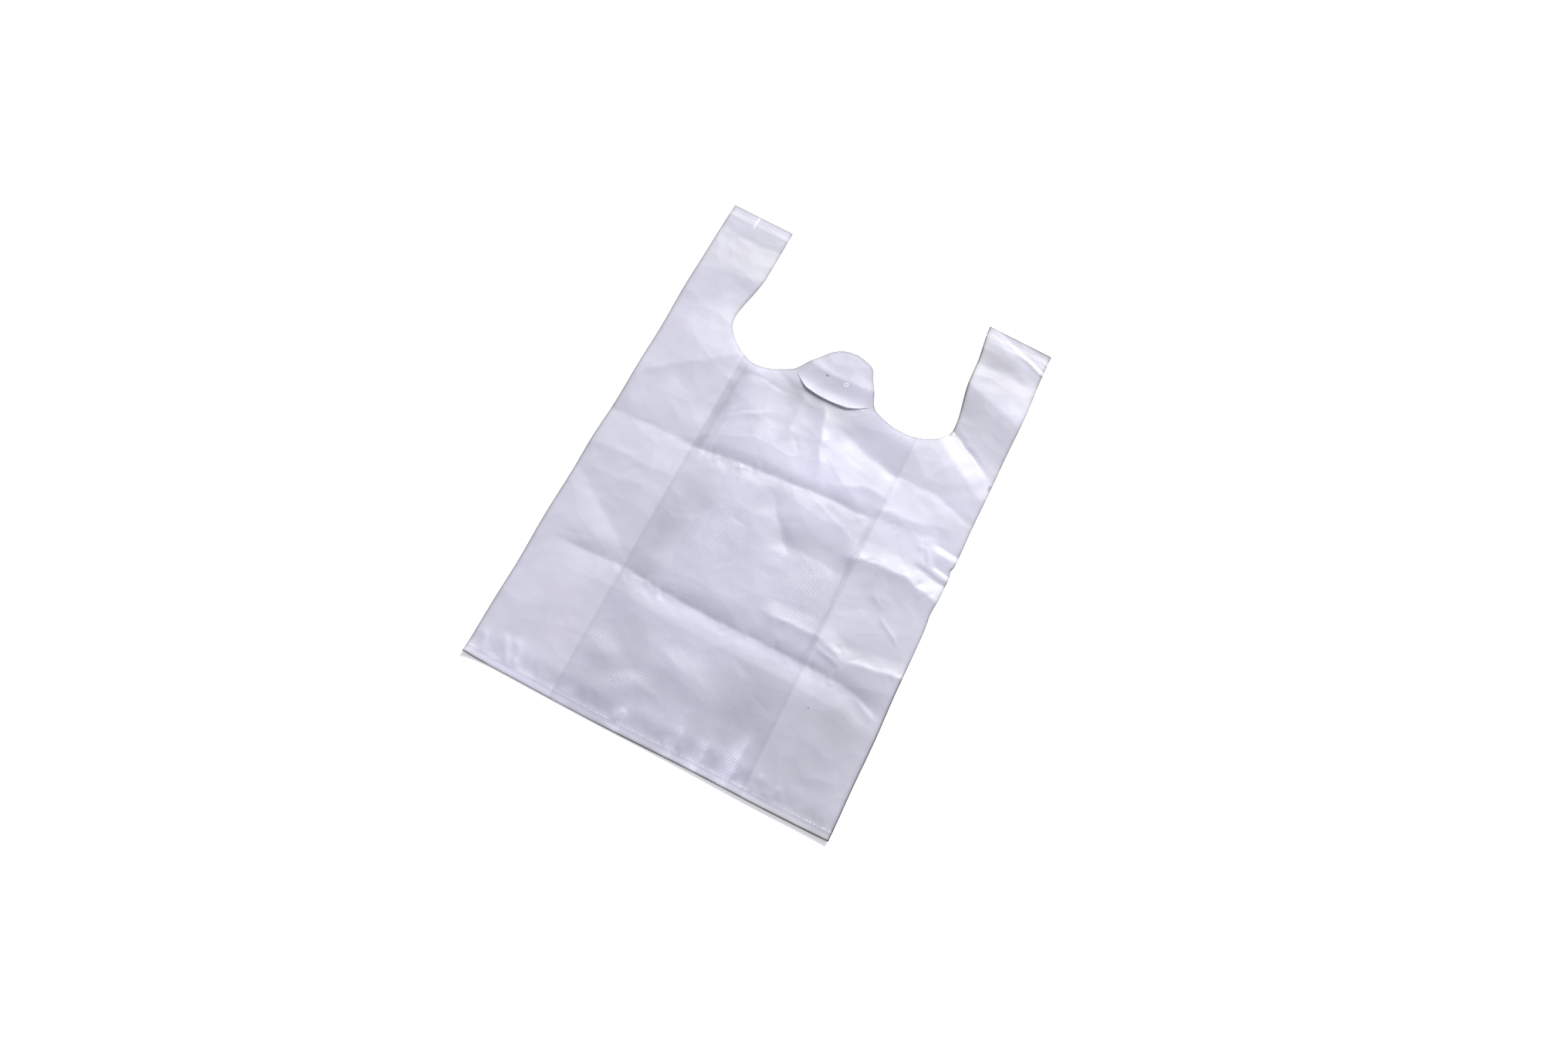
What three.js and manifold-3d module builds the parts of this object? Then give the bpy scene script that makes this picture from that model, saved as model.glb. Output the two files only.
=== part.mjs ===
// A vest carrier bag of thin polyethylene film, lying flat on its back panel. It is one piece: a blown tube
// of film with a gusset folded into each side, welded across the bottom and the handle tops, pinned together
// by two heat spots in the tab, and then die-cut through all its layers.
// Millimetres, +Z up. The origin is under the middle of the bag, X runs across it and +Y towards the handles.

import * as THREE from "three";
import { mergeVertices } from "three/addons/utils/BufferGeometryUtils.js";
import Module from "manifold-3d";

const wasm = await Module();
wasm.setup();

// The tube of film
const BAG_WIDTH = 280; // across the folded tube
const BAG_LENGTH = 480; // bottom edge to handle tops
const GUSSET_DEPTH = 65; // how far each side is folded in
const FILM = 0.03; // one layer
const LAYER_GAP = 0.03; // air between layers that lie on each other
const FOLD = 1.5; // width of film that a fold takes up

// The welds
const BOTTOM_WELD = 8; // band across the bottom edge
const HANDLE_WELD = 8; // band across each handle top
const PIN_RADIUS = 1.2; // heat spots that hold the tab's two layers together
const PIN_SPACING = 16;
const PIN_ABOVE_MOUTH = 22;

// The die-cut mouth
const HANDLE_LENGTH = 138; // lowest point of the mouth up to the handle tops
const HANDLE_WIDTH = 52; // at the top
const HANDLE_ROOT = 46; // at the root, where the handle is narrowest
const HANDLE_FLARE = 53; // length over which the root widens to the handle
const SCOOP_DEPTH = 30; // root of the handle down to the lowest point of the mouth
const TAB_HEIGHT = 52; // lowest point of the mouth up to the top of the tab
const TAB_RADIUS = 22;
const TAB_FLANK = THREE.MathUtils.degToRad(27); // lean of the tab's straight sides

// The hanging slit under the tab, a smile that stops short of the tab's edges
const SLIT_LENGTH = 61; // end to end, in a straight line
const SLIT_SAG = 13; // how far its lower lip hangs below its ends
const SLIT_OPEN = 3; // gap between its lips in the middle
const SLIT_ABOVE_MOUTH = 13; // lowest point of the mouth up to the slit's ends

// How the film stands apart as the bag lies
const CROWN = 11; // air under the middle of the front panel
const PUFF_RUN = 110; // length over which the front panel rises from the bottom weld
const LIP_RUN = 3; // length past the mouth over which the front stays up
const SIDE_GAP = 0.3; // gusset slot along the side folds
const HANDLE_GAP = 5.5; // front of a handle above its back
const HANDLE_RUN = HANDLE_LENGTH / 3; // length over which a handle opens, and closes again

// Fineness of the faceted film
const GUSSET_STEPS = 3;
const PANEL_STEPS = 10;
const RUN_STEPS = 4;
const CURVE_STEPS = 8;
const DIE_REACH = 20; // the dies stand this far past the film
const SQUARE = 6; // index entries of a square's two triangles

const halfWidth = BAG_WIDTH / 2;
const gussetLine = halfWidth - GUSSET_DEPTH;
const bottom = -BAG_LENGTH / 2;
const top = BAG_LENGTH / 2;
const mouth = top - HANDLE_LENGTH;
const pinLine = mouth + PIN_ABOVE_MOUTH;
const tabTop = mouth + TAB_HEIGHT;
const rootLine = mouth + SCOOP_DEPTH;
const tabNeck = SLIT_LENGTH / 2;
const pitch = FILM + LAYER_GAP;

const { lerp, smoothstep } = THREE.MathUtils;

// A closed three.js geometry as a solid that can be joined and cut.
function solid(geometry) {
  geometry.deleteAttribute("normal");
  geometry.deleteAttribute("uv");
  const merged = mergeVertices(geometry);
  return new wasm.Manifold(
    new wasm.Mesh({
      numProp: 3,
      vertProperties: merged.getAttribute("position").array,
      triVerts: new Uint32Array(merged.index.array),
    }),
  );
}

// A block over a grid of stations, whose under and upper faces follow two height functions. Each square of
// its under face, the last of the box, is split along the same diagonal as the one above it, so that a layer
// is as thick in the middle of a square as at its corners.
function block(xs, ys, under, upper) {
  const box = new THREE.BoxGeometry(1, 1, 1, xs.length - 1, ys.length - 1, 1);
  const index = box.index.array;
  for (let i = box.groups.at(-1).start; i < index.length; i += SQUARE) {
    const [a, b, d, , c] = index.slice(i, i + SQUARE);
    index.set([a, b, c, a, c, d], i);
  }
  const corner = box.getAttribute("position");
  for (let i = 0; i < corner.count; i++) {
    const x = xs[Math.round((corner.getX(i) + 0.5) * (xs.length - 1))];
    const y = ys[Math.round((corner.getY(i) + 0.5) * (ys.length - 1))];
    corner.setXYZ(i, x, y, corner.getZ(i) > 0 ? upper(x, y) : under(x, y));
  }
  return solid(box);
}

// One layer of film over that grid.
function film(xs, ys, under) {
  return block(xs, ys, under, (x, y) => under(x, y) + FILM);
}

// Evenly spaced stations from a to b.
function stations(a, b, steps) {
  return Array.from({ length: steps + 1 }, (_, i) => lerp(a, b, i / steps));
}

// What a die of this outline cuts out of the whole stack.
function die(outline) {
  const prism = new THREE.ExtrudeGeometry(outline, {
    depth: CROWN + 2 * DIE_REACH,
    bevelEnabled: false,
  });
  return solid(prism.translate(0, 0, -DIE_REACH));
}

// How far the bag is filled with air along its length: nothing at the bottom weld and at the pinned tab.
function fill(y) {
  const rising = smoothstep(y, bottom + BOTTOM_WELD / 2, bottom + BOTTOM_WELD + PUFF_RUN);
  return rising * (1 - smoothstep(y, mouth + LIP_RUN, pinLine - PIN_RADIUS));
}

// 0 in the body and 1 in the handles.
function handleShare(y) {
  return smoothstep(y, mouth, mouth + HANDLE_RUN);
}

// The slot between the front and the back pair of layers along a side fold. In a handle it is the loop.
function sideGap(y) {
  const opening = lerp(SIDE_GAP, HANDLE_GAP, handleShare(y));
  const fromBottom = smoothstep(y, bottom + BOTTOM_WELD / 2, bottom + BOTTOM_WELD + PUFF_RUN);
  const toTop = 1 - smoothstep(y, top - HANDLE_WELD - HANDLE_RUN, top - HANDLE_WELD / 2);
  return opening * fromBottom * toTop;
}

// How far the front panel stands above the layers that it rests on.
function frontLift(x, y) {
  const across = 1 - (x / halfWidth) ** 2;
  return sideGap(y) * smoothstep(Math.abs(x), tabNeck, gussetLine) + CROWN * across * fill(y);
}

// The front panel rests on three layers over a gusset, and on the back panel alone between the gussets.
function frontUnder(x, y) {
  const layersBelow = Math.abs(x) > gussetLine - FOLD ? 3 : 1;
  return layersBelow * pitch + frontLift(x, y);
}

// A gusset's two layers part at the side folds and meet at its inner fold, half way up the bag.
// In the handles the inner fold is cut away, and they lie against the back and the front instead.
function gussetLower(x, y) {
  const inward = (halfWidth - Math.abs(x)) / GUSSET_DEPTH;
  const foldLift = (frontLift(gussetLine, y) / 2) * (1 - handleShare(y));
  return pitch + inward * foldLift;
}

function gussetUpper(x, y) {
  const inward = (halfWidth - Math.abs(x)) / GUSSET_DEPTH;
  const foldLift = lerp(frontLift(gussetLine, y) / 2, sideGap(y), handleShare(y));
  return 2 * pitch + lerp(sideGap(y), foldLift, inward);
}

// Stations along the bag, closer together where the film rises or falls. The layers stop one film thickness
// short of the edges and folds, which the welds and the noses of the folds make up.
const lengthStations = [
  bottom + FILM,
  ...stations(bottom + BOTTOM_WELD, bottom + BOTTOM_WELD + PUFF_RUN, RUN_STEPS),
  mouth,
  ...stations(mouth + LIP_RUN, pinLine - PIN_RADIUS, RUN_STEPS),
  pinLine + PIN_RADIUS,
  mouth + HANDLE_RUN,
  ...stations(top - HANDLE_WELD - HANDLE_RUN, top - HANDLE_WELD, RUN_STEPS),
  top - FILM,
].sort((a, b) => a - b);

const acrossGusset = [
  gussetLine + FILM,
  ...stations(gussetLine + FOLD, halfWidth - FOLD, GUSSET_STEPS),
  halfWidth - FILM,
];
const acrossBag = [
  ...acrossGusset.map((x) => -x).reverse(),
  ...stations(-gussetLine + 2 * FOLD, gussetLine - 2 * FOLD, PANEL_STEPS),
  ...acrossGusset,
];

const backUnder = () => 0;

// The middle of the thickness of a layer. Folds and welds run from the middle of one layer to another.
function middle(under) {
  return (x, y) => under(x, y) + FILM / 2;
}

function frontPanel() {
  return film(acrossBag, lengthStations, frontUnder);
}

function backPanel() {
  return film([-halfWidth + FILM, halfWidth - FILM], [bottom + FILM, top - FILM], backUnder);
}

// The two layers of one gusset and its three folds: to the back, to the front and along the inside.
function gusset(side) {
  const mirrored = (xs) => (side < 0 ? xs.map((x) => -x).reverse() : xs);
  const across = mirrored(acrossGusset);
  const sideFold = mirrored([halfWidth - FOLD, halfWidth]);
  const innerFold = mirrored([gussetLine, gussetLine + FOLD]);
  return [
    film(across, lengthStations, gussetLower),
    film(across, lengthStations, gussetUpper),
    block(sideFold, lengthStations, middle(backUnder), middle(gussetLower)),
    block(sideFold, lengthStations, middle(gussetUpper), middle(frontUnder)),
    block(innerFold, lengthStations, middle(gussetLower), middle(gussetUpper)),
  ];
}

// A weld presses the whole stack together across the bag, up to the noses of the side folds.
function weld(from, to) {
  const reach = halfWidth - 2 * FILM;
  const across = [-reach, ...acrossBag.slice(1, -1), reach];
  return block(across, [from, to], middle(backUnder), middle(frontUnder));
}

function heatSpot(x) {
  const from = middle(backUnder)(x, pinLine);
  const to = middle(frontUnder)(x, pinLine);
  const spot = new THREE.CylinderGeometry(PIN_RADIUS, PIN_RADIUS, to - from, 2 * CURVE_STEPS);
  return solid(spot.rotateX(Math.PI / 2).translate(x, pinLine, (from + to) / 2));
}

// The rim of the mouth from the middle of the tab to the top of the right handle: the tab's round top and
// straight flank, an elliptic scoop that runs tangent into the handle's root, and the handle's inner edge.
function mouthRim() {
  const tabCentre = tabTop - TAB_RADIUS;
  const rootEdge = halfWidth - HANDLE_ROOT;
  const handleEdge = halfWidth - HANDLE_WIDTH;
  const flankReach = TAB_RADIUS + tabCentre * Math.sin(TAB_FLANK);
  const room = rootEdge * Math.cos(TAB_FLANK) + rootLine * Math.sin(TAB_FLANK) - flankReach;
  const scoopHalf =
    (room ** 2 - (SCOOP_DEPTH * Math.sin(TAB_FLANK)) ** 2) / (2 * room * Math.cos(TAB_FLANK));
  const scoopStart = Math.PI + Math.atan((SCOOP_DEPTH / scoopHalf) * Math.tan(TAB_FLANK));
  const flareEnd = rootLine + HANDLE_FLARE;
  const rim = new THREE.Path();
  rim.absarc(0, tabCentre, TAB_RADIUS, Math.PI / 2, TAB_FLANK, true);
  rim.absellipse(
    rootEdge - scoopHalf, rootLine, scoopHalf, SCOOP_DEPTH, scoopStart, 2 * Math.PI, false, 0,
  );
  rim.bezierCurveTo(
    rootEdge, lerp(rootLine, flareEnd, 1 / 3),
    handleEdge, lerp(rootLine, flareEnd, 2 / 3),
    handleEdge, flareEnd,
  );
  rim.lineTo(handleEdge, top + DIE_REACH);
  return rim.getPoints(CURVE_STEPS);
}

function mouthOutline() {
  const right = mouthRim();
  const left = right.slice(1).map((p) => new THREE.Vector2(-p.x, p.y));
  return new THREE.Shape([...left.reverse(), ...right]);
}

// An arc between the slit's ends that hangs a given depth below them, from left to right.
function slitArc(sag) {
  const reach = SLIT_LENGTH / 2;
  const radius = (reach ** 2 + sag ** 2) / (2 * sag);
  const centre = mouth + SLIT_ABOVE_MOUTH + radius - sag;
  const spread = Math.asin(reach / radius);
  const arc = new THREE.EllipseCurve(
    0, centre, radius, radius, -Math.PI / 2 - spread, -Math.PI / 2 + spread, false,
  );
  return arc.getPoints(2 * CURVE_STEPS);
}

function slitOutline() {
  const lowerLip = slitArc(SLIT_SAG);
  const upperLip = slitArc(SLIT_SAG - SLIT_OPEN);
  return new THREE.Shape([...lowerLip, ...upperLip.reverse().slice(1, -1)]);
}

function carrierBag() {
  const tube = [
    frontPanel(),
    backPanel(),
    ...gusset(-1),
    ...gusset(1),
    weld(bottom, bottom + BOTTOM_WELD),
    weld(top - HANDLE_WELD, top),
    heatSpot(-PIN_SPACING / 2),
    heatSpot(PIN_SPACING / 2),
  ].reduce((joined, piece) => joined.add(piece));
  return tube.subtract(die(mouthOutline())).subtract(die(slitOutline()));
}

function geometryOf(manifold) {
  const mesh = manifold.getMesh();
  return new THREE.BufferGeometry()
    .setAttribute("position", new THREE.BufferAttribute(mesh.vertProperties, mesh.numProp))
    .setIndex(new THREE.BufferAttribute(mesh.triVerts, 1));
}

const milkyFilm = new THREE.MeshStandardMaterial({
  color: 0xcfcfdf,
  roughness: 0.35,
  metalness: 0,
  transparent: true,
  opacity: 0.75,
  side: THREE.DoubleSide,
});

const bagMesh = new THREE.Mesh(geometryOf(carrierBag()), milkyFilm);
bagMesh.name = "carrier_bag";

const bag = new THREE.Group();
bag.add(bagMesh);

export default bag;
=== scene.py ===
# A vest carrier bag of thin milky film, lying on its back panel on a pale floor.
# The film is made much as the real one is: a flat sheet is folded into a gusseted tube, die-cut through all
# its layers, given raised beads and stiffer film where the bottom and the handle tops are welded, and then
# creased.
# It is modelled in millimetres and brought to metres at the end. X runs across the bag and +Y towards the
# handles.
import math

import bmesh
import bpy
import numpy as np
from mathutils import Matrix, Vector


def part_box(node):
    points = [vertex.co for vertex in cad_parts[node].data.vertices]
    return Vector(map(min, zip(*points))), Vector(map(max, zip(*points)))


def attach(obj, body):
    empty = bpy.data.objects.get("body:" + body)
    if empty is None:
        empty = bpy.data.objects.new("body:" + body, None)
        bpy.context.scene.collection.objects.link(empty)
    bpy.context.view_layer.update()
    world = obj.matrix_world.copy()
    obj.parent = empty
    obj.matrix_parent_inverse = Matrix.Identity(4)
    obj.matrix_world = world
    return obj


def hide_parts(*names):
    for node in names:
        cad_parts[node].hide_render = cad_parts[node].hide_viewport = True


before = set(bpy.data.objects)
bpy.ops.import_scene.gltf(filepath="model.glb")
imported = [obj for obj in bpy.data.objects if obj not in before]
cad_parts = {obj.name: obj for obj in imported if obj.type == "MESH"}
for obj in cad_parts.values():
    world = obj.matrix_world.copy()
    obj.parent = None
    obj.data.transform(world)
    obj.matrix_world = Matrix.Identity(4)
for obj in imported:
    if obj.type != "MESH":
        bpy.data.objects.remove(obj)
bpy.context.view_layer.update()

MM = 0.001

# The folded tube, from the solid's own box
_, bag_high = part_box("carrier_bag")
HALF_WIDTH = bag_high[0] / MM
HALF_LENGTH = bag_high[1] / MM
LENGTH = 2 * HALF_LENGTH
GUSSET_DEPTH = 65
GUSSET_LINE = HALF_WIDTH - GUSSET_DEPTH

# Fineness of the film
FRONT_COLUMNS = 216
BACK_COLUMNS = 24
GUSSET_COLUMNS = 16
ROWS = 320
ARC_STEPS = 24
SLIT_STEPS = 36
SEAM_MERGE = 0.001
CUT_MERGE = 0.02

# The die-cut mouth
HANDLE_LENGTH = 138
HANDLE_WIDTH = 52
HANDLE_ROOT = 46
HANDLE_FLARE = 53
SCOOP_DEPTH = 30
TAB_HEIGHT = 52
TAB_RADIUS = 22
TAB_FLANK = math.radians(27)
SLIT_LENGTH = 61
SLIT_SAG = 13
SLIT_OPEN = 3
SLIT_ABOVE_MOUTH = 13
MOUTH = HALF_LENGTH - HANDLE_LENGTH
MOUTH_UP = MOUTH + HALF_LENGTH  # the same line, up from the bottom edge
DIE_REACH = 20
OPEN_FOLD = 30  # height of the folded tube while it is cut

# The welds, and the heat spots in the tab
BOTTOM_WELD = 8
HANDLE_WELD = 9
TOP_WELD_UP = LENGTH - HANDLE_WELD
BEAD_HEIGHT = 0.18
BEAD_WIDTH = 1.1
PIN_RADIUS = 1.2
PIN_SPACING = 16
PIN_SHIFT = -2
PIN_ABOVE_MOUTH = 22

# The air in the bag
CROWN = 5.0
HANDLE_CROWN = 2.2
RISE_START = BOTTOM_WELD / 2
STEEP_RISE_END = 24
RISE_END = 130
STEEP_SHARE = 0.4
HANDLE_RUN = 60  # length over which the crown falls to the handle's
CLOSING_RUN = 75  # length over which a handle closes to its weld
PANEL_SIDE = 0.3  # share of the crown that is left at a side fold
HANDLE_SIDE = 0.7
SIDE_ROUNDING = 5
TAB_SINK_START = MOUTH_UP - 85
TAB_SINK_END = MOUTH_UP - 5
TAB_SINK_HALF = 30
TAB_SINK_SOFT = 30

# How the layers lie
LAYERS = 0.35  # height of the pressed stack of layers
FLOOR_GAP = 0.03
PARTING = 1.5  # how close a gusset's layers keep before they part towards the side folds
EASE = 0.5  # height over which a valley eases out above the layer under it
TOGETHER_RUN = 25  # length either side of the mouth over which the back comes to crease with the front
TOGETHER_SHARE = 0.92
BOTTOM_SLACK = 0.08  # share of a crease's height that a weld lets through
TOP_SLACK = 0.2
BOTTOM_CURL = 1.2
BOTTOM_CURL_REACH = 9
SIDE_CURL = 0.8
SIDE_CURL_REACH = 10
CORNER_CURL = 2.2
CORNER_CURL_REACH = 7
FOLD_ANGLE = math.radians(70)
SEED = 11
HANDLING_CREASES = 130
HANDLING_TOP = 330
LINE_SOFT = 0.4  # width over which a crease or a streak is rounded
STREAK_FADES = (2, 2)

# How far the film is drawn out of the die's outline
LEFT_BOTTOM_RISE = 2.6
RIGHT_BOTTOM_DROP = 1.2
HANDLE_STAGGER = 3.0
LEFT_SCOOP_DROP = 5
SLIT_ENDS_DROP = 4
SLIT_SHIFT = -3
SLIT_STRETCH = 0.13
LIP_HANG = 6.5
LIP_REACH = 30
TAB_CORNER_PULL = 1.2
TAB_LEAN = 2.2
HANDLE_TOP_PULL = -2.6
HANDLE_ROOT_PULL = 1.6

# Where it is drawn: the centre and radii of each spot, the line of the lip, and the right fold's notches
LEFT_SCOOP_SPOT = ((-63, 342), (20, 16))
SLIT_END_SPOT = ((28, 352), (9, 9))
SLIT_SPOT = ((0, 347), (30, 12))
TAB_CORNER_SPOT = ((17, 390), (7, 7))
LIP_LINE_UP = 343.5
LIP_BOW = 8  # how far the lip's line has risen at this half of its width
LIP_BOW_HALF = 25
LIP_FADE = (14, 29)
SIDE_NOTCHES = [(1.6, 248, 4), (1.0, 205, 9)]  # depth, place and width

# The film's finish
GUSSET_MILK = (0.665, 0.664, 0.76, 1)
PANEL_MILK = (0.59, 0.591, 0.69, 1)
PASSING_MILK = (0.788, 0.787, 0.885, 1)
MARK_WHITE = (0.9, 0.9, 0.93, 1)
PASSING_SHARE = 0.38
FILM_IOR = 1.5
FILM_GLOSS = 0.11
FILM_ROUGHNESS = (0.22, 0.34)
NOISE_ROUGHNESS = 0.55
HAZE_CELLS = (24, 18, 0)  # so many a metre across and along
HAZE_SWING = 0.16
HUE_CELLS = (9, 7, 0)
HUE_SWING = 0.08
WELD_DOT_CELLS = (700, 700, 0)
WELD_DOT_GAIN = 6
WELD_DOT_OFFSET = -2.6
WELD_LINE_UP = 7.4
TOP_LINE_WHITE = 0.7
TICK_PLACE = (-117.5, 473)
FLECK_PLACE = (88.5, 85)
# painted shade along the gusset folds
FOLD_SHADE = -0.035
SPOT_SHADE = -0.35
# painted shade along the cut edges
EDGE_SHADE = -0.55
EDGE_WIDTH = 0.7
# painted glint on the dots where they stand out, and what it takes off around them
DOT_GLINT = 0.38
DOT_GROUND = -0.02
DOTS_A_METRE = 640
DOT_SLANT = math.radians(32)
DOT_DEPTH = 0.2 * MM
PLAIN_DOTS = 0.2  # height of the dots outside the patches where they stand out
CRUMPLES_A_METRE = 20
CRUMPLE_DEPTH = 1.1 * MM
HANDLE_CRUMPLE = 0.2  # share of that depth in the handles, which lie smoother
CRINKLES_A_METRE = 62
CRINKLE_DEPTH = 0.22 * MM

# The floor, the light and the camera, in metres
FLOOR_REACH = 6
FLOOR_WHITE = (0.9, 0.9, 0.9, 1)
FLOOR_GREY = (0.45, 0.45, 0.47, 1)
PURE_WHITE = (1, 1, 1, 1)
NEAR_GLOW = 0.4
NEAR_FLOOR = 0.5
FAR_FLOOR = 2
FILL_COLOUR = (0.87, 0.875, 1, 1)
FILL_STRENGTH = 0.41
KEY_PLACE = (0.3, 4.7, 2.75)
KEY_SIZE = 2.2
KEY_POWER = 650  # watts
KEY_COLOUR = (1, 0.995, 0.93)
CAMERA_PLACE = (0.05421, -1.00688, 1.38068)
CAMERA_TURN = (33.0493, -14.1661, 23.0332)  # degrees
CAMERA_LENS = 53.1758  # millimetres, as the sensor
SENSOR_WIDTH = 36

# Places of the nodes in the editor
NODES_A_ROW = 12
NODE_PITCH = (220, 320)


def smooth_step(value, start, end):
    """0 up to the start, 1 from the end on, and an even ease between them."""
    share = np.clip((value - start) / (end - start), 0, 1)
    return share * share * (3 - 2 * share)


def bell(value, centre, width):
    """1 at the centre, falling away softly over the width on both sides."""
    return np.exp(-((value - centre) / width) ** 2)


def soft_spot(x, up, centre, radii):
    """1 at the centre, falling away softly over the radii all round."""
    return bell(x, centre[0], radii[0]) * bell(up, centre[1], radii[1])


# The tube of film

def tube_sections():
    """Columns round the tube as (x, level): level 0 is the back panel, 1 the front, and a gusset's inner
    fold is half way between them."""
    edge, fold = HALF_WIDTH, GUSSET_LINE
    corners = [
        (0, 0), (-edge, 0), (-fold, 0.5), (-edge, 1), (edge, 1), (fold, 0.5), (edge, 0), (0, 0),
    ]
    half_back = BACK_COLUMNS // 2
    counts = [
        half_back, GUSSET_COLUMNS, GUSSET_COLUMNS, FRONT_COLUMNS, GUSSET_COLUMNS, GUSSET_COLUMNS, half_back,
    ]
    sections = [corners[0]]
    for start, end, count in zip(corners, corners[1:], counts):
        for step in range(1, count + 1):
            share = step / count
            sections.append(tuple(a + (b - a) * share for a, b in zip(start, end)))
    return sections


def folded_tube():
    """A flat grid folded round into the tube, standing open so that the die meets each layer by itself."""
    sections = tube_sections()
    columns = len(sections) - 1
    bm = bmesh.new()
    bmesh.ops.create_grid(bm, x_segments=columns, y_segments=ROWS, size=1)
    for vert in bm.verts:
        x, level = sections[round((vert.co.x + 1) / 2 * columns)]
        vert.co = (x, vert.co.y * HALF_LENGTH, level * OPEN_FOLD)
    bmesh.ops.remove_doubles(bm, verts=bm.verts, dist=SEAM_MERGE)
    return bm


def arc_points(centre, radii, start, end, steps):
    angles = [start + (end - start) * step / steps for step in range(steps + 1)]
    return [(centre[0] + radii[0] * math.cos(a), centre[1] + radii[1] * math.sin(a)) for a in angles]


def mouth_rim():
    """The rim from the middle of the tab to the top of the right handle: the tab's round top and straight
    flank, an elliptic scoop that runs tangent into the handle's root, and the handle's inner edge."""
    tab_centre = MOUTH + TAB_HEIGHT - TAB_RADIUS
    root_line = MOUTH + SCOOP_DEPTH
    root_edge = HALF_WIDTH - HANDLE_ROOT
    handle_edge = HALF_WIDTH - HANDLE_WIDTH
    lean, slope = math.sin(TAB_FLANK), math.cos(TAB_FLANK)
    room = root_edge * slope + root_line * lean - TAB_RADIUS - tab_centre * lean
    scoop_half = (room ** 2 - (SCOOP_DEPTH * lean) ** 2) / (2 * room * slope)
    scoop_start = math.pi + math.atan(SCOOP_DEPTH / scoop_half * math.tan(TAB_FLANK))
    tab = arc_points((0, tab_centre), (TAB_RADIUS, TAB_RADIUS), math.pi / 2, TAB_FLANK, ARC_STEPS)
    scoop = arc_points(
        (root_edge - scoop_half, root_line), (scoop_half, SCOOP_DEPTH), scoop_start, 2 * math.pi, ARC_STEPS,
    )
    flare = []
    for step in range(1, ARC_STEPS + 1):
        share = step / ARC_STEPS
        ease = share * share * (3 - 2 * share)
        flare.append((root_edge + (handle_edge - root_edge) * ease, root_line + HANDLE_FLARE * share))
    return tab + scoop + flare + [(handle_edge, HALF_LENGTH + DIE_REACH)]


def mouth_outline():
    right = mouth_rim()
    left = [(-x, y) for x, y in reversed(right[1:])]
    return left + right


def slit_arc(sag):
    reach = SLIT_LENGTH / 2
    radius = (reach ** 2 + sag ** 2) / (2 * sag)
    centre = MOUTH + SLIT_ABOVE_MOUTH + radius - sag
    spread = math.asin(reach / radius)
    down = -math.pi / 2
    return arc_points((0, centre), (radius, radius), down - spread, down + spread, SLIT_STEPS)


def slit_outline():
    return slit_arc(SLIT_SAG) + slit_arc(SLIT_SAG - SLIT_OPEN)[-2:0:-1]


def new_object(name, bm):
    mesh = bpy.data.meshes.new(name)
    bm.to_mesh(mesh)
    bm.free()
    made = bpy.data.objects.new(name, mesh)
    bpy.context.scene.collection.objects.link(made)
    return made


def die(name, outline):
    """A prism of this outline that stands past the open tube on both sides."""
    bm = bmesh.new()
    face = bm.faces.new([bm.verts.new((x, y, -DIE_REACH)) for x, y in outline])
    risen = bmesh.ops.extrude_face_region(bm, geom=[face], use_keep_orig=True)["geom"]
    corners = [part for part in risen if isinstance(part, bmesh.types.BMVert)]
    bmesh.ops.translate(bm, verts=corners, vec=(0, 0, OPEN_FOLD + 2 * DIE_REACH))
    bmesh.ops.recalc_face_normals(bm, faces=bm.faces)
    return new_object(name, bm)


def cut_film(tube, dies):
    """The tube with what the dies cut out of all its layers taken away."""
    bag = new_object("film", tube)
    bag.data.materials.append(bpy.data.materials.new("uncut"))
    waste = bpy.data.materials.new("waste")
    for cutter in dies:
        cutter.data.materials.append(waste)
        cut = bag.modifiers.new(cutter.name, "BOOLEAN")
        cut.operation = "DIFFERENCE"
        cut.solver = "EXACT"
        cut.material_mode = "TRANSFER"
        cut.object = cutter
    graph = bpy.context.evaluated_depsgraph_get()
    mesh = bpy.data.meshes.new_from_object(bag.evaluated_get(graph))
    bm = bmesh.new()
    bm.from_mesh(mesh)
    waste_slots = [i for i, material in enumerate(mesh.materials) if material == waste]
    walls = [face for face in bm.faces if face.material_index in waste_slots]
    bmesh.ops.delete(bm, geom=walls, context="FACES")
    bmesh.ops.remove_doubles(bm, verts=bm.verts, dist=CUT_MERGE)
    bmesh.ops.dissolve_degenerate(bm, edges=bm.edges, dist=CUT_MERGE)
    for made in [bag, *dies]:
        bpy.data.objects.remove(made)
    return bm


# Creases and patches: millimetres across from the middle, and up from the bottom edge

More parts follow.
